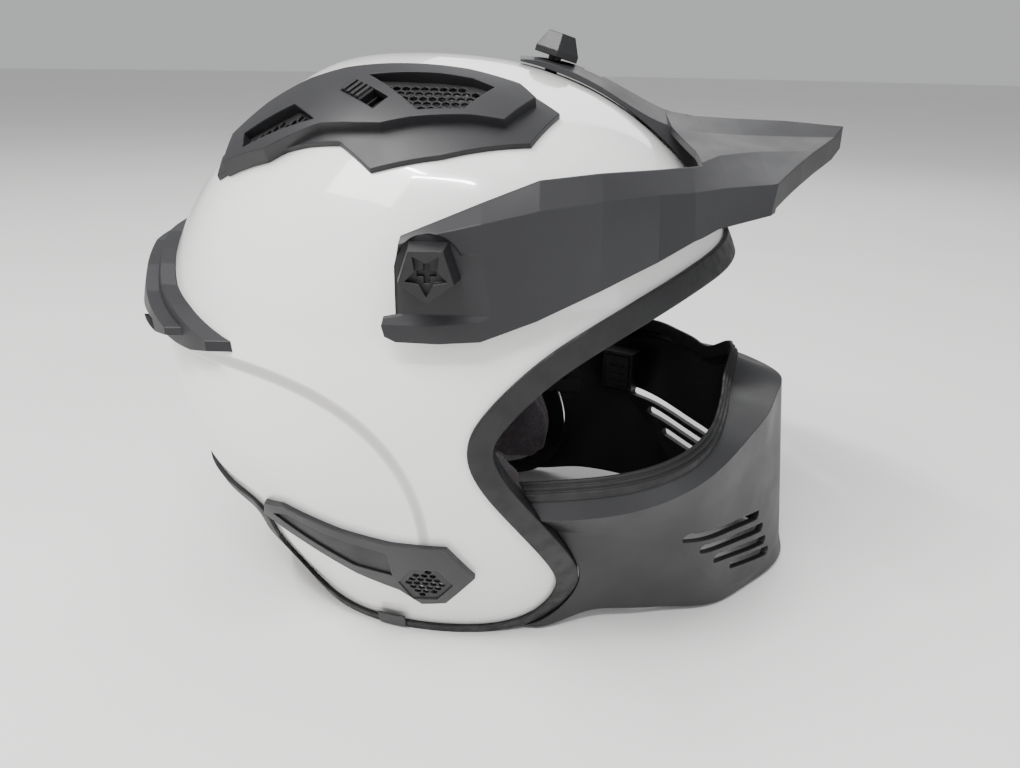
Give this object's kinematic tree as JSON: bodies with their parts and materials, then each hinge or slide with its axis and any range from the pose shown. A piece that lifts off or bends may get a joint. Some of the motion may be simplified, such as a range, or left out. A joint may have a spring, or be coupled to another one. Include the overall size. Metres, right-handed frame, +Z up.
{
  "type": "open face motorcycle helmet",
  "caption": "Open face motorcycle helmet with a bolt-on peak, a detachable slotted chin guard, sliding top vents, a rear exhaust vent and a plush removable lining.",
  "frame": {"origin": "on the table, under the middle of the helmet's overall length and width", "axes": "+Z up, the helmet faces -Y, its right side is -X, +Y runs to the back of the head"},
  "size_m": [0.282, 0.3298, 0.266],
  "materials": {
    "shell_white": "gloss clear coat",
    "rubber_black": "satin",
    "eps_grey": "matte bead foam",
    "liner_fabric": "short plush",
    "inner_plastic": "matte",
    "charcoal": "fine matte paint",
    "knob_black": "matte",
    "vent_black": "matte",
    "brass": "machined",
    "steel": "zinc plated",
    "webbing": "woven",
    "buckle_red": "matte"
  },
  "bodies": {
    "helmet": {"outer_shell": "shell_white", "face_gasket": "rubber_black", "base_trim": "rubber_black", "peak_spacer_left": "rubber_black", "peak_spacer_right": "rubber_black", "eps_liner": "eps_grey", "crown_liner": "liner_fabric", "neck_roll": "liner_fabric", "cheek_pad_left": "liner_fabric", "cheek_pad_right": "liner_fabric", "cheek_plate_left": "inner_plastic", "cheek_plate_right": "inner_plastic", "snap_studs": "inner_plastic", "guard_receiver_left": "inner_plastic", "guard_receiver_right": "inner_plastic", "top_vent_left": "charcoal", "top_vent_right": "charcoal", "rear_vent": "charcoal", "trim_joiner_left": "knob_black", "trim_joiner_right": "knob_black", "rear_grille_left": "knob_black", "rear_grille_right": "knob_black", "side_vent_left": "charcoal", "side_cover_left": "vent_black", "side_mesh_left": "vent_black", "top_mesh_front_left": "vent_black", "top_mesh_rear_left": "vent_black", "peak_insert_left": "brass", "strap_anchor_left": "steel", "chin_strap_left": "webbing", "side_vent_right": "charcoal", "side_cover_right": "vent_black", "side_mesh_right": "vent_black", "top_mesh_front_right": "vent_black", "top_mesh_rear_right": "vent_black", "peak_insert_right": "brass", "strap_anchor_right": "steel", "chin_strap_right": "webbing", "strap_rivets": "steel", "buckle_body": "knob_black", "buckle_tongue": "knob_black"},
    "peak": {"peak": "charcoal"},
    "knob_left": {"peak_knob_left": "knob_black"},
    "knob_right": {"peak_knob_right": "knob_black"},
    "top_knob": {"peak_top_knob": "knob_black"},
    "slider_left": {"vent_slider_left": "knob_black"},
    "slider_right": {"vent_slider_right": "knob_black"},
    "guard": {"chin_guard": "charcoal", "goggle_rim": "rubber_black"},
    "release_left": {"guard_release_left": "inner_plastic"},
    "release_right": {"guard_release_right": "inner_plastic"},
    "lever": {"buckle_lever": "buckle_red"}
  },
  "joints": [
    {"name": "peak_tilt", "type": "hinge", "parent": "helmet", "child": "peak", "pos_m": [0, 0.01657, 0.1847], "axis": [-1, 0, 0], "range_deg": [0, 5]},
    {"name": "knob_left_turn", "type": "hinge", "parent": "helmet", "child": "knob_left", "pos_m": [0.126, 0.01657, 0.1847], "axis": [1, 0, 0], "continuous": true},
    {"name": "knob_right_turn", "type": "hinge", "parent": "helmet", "child": "knob_right", "pos_m": [-0.126, 0.01657, 0.1847], "axis": [-1, 0, 0], "continuous": true},
    {"name": "top_knob_turn", "type": "hinge", "parent": "peak", "child": "top_knob", "pos_m": [0, -0.02643, 0.2481], "axis": [0, -0.2867, 0.958], "continuous": true},
    {"name": "slider_right_slide", "type": "slide", "parent": "helmet", "child": "slider_right", "axis": [-0.6503, -0.7102, -0.2695], "range_m": [0, 0.008]},
    {"name": "slider_left_slide", "type": "slide", "parent": "helmet", "child": "slider_left", "axis": [0.6503, -0.7102, -0.2695], "range_m": [0, 0.008]},
    {"name": "guard_pull_off", "type": "slide", "parent": "helmet", "child": "guard", "axis": [0, -1, 0], "range_m": [0, 0.06]},
    {"name": "release_right_press", "type": "slide", "parent": "guard", "child": "release_right", "axis": [-0.866, -0.5, 0], "range_m": [0, 0.0016], "stiffness_N_per_m": 250},
    {"name": "release_left_press", "type": "slide", "parent": "guard", "child": "release_left", "axis": [0.866, -0.5, 0], "range_m": [0, 0.0016], "stiffness_N_per_m": 250},
    {"name": "lever_lift", "type": "hinge", "parent": "helmet", "child": "lever", "pos_m": [0.03, 0.08649, 0.0307], "axis": [0, 0, -1], "range_deg": [0, 55]}
  ]
}
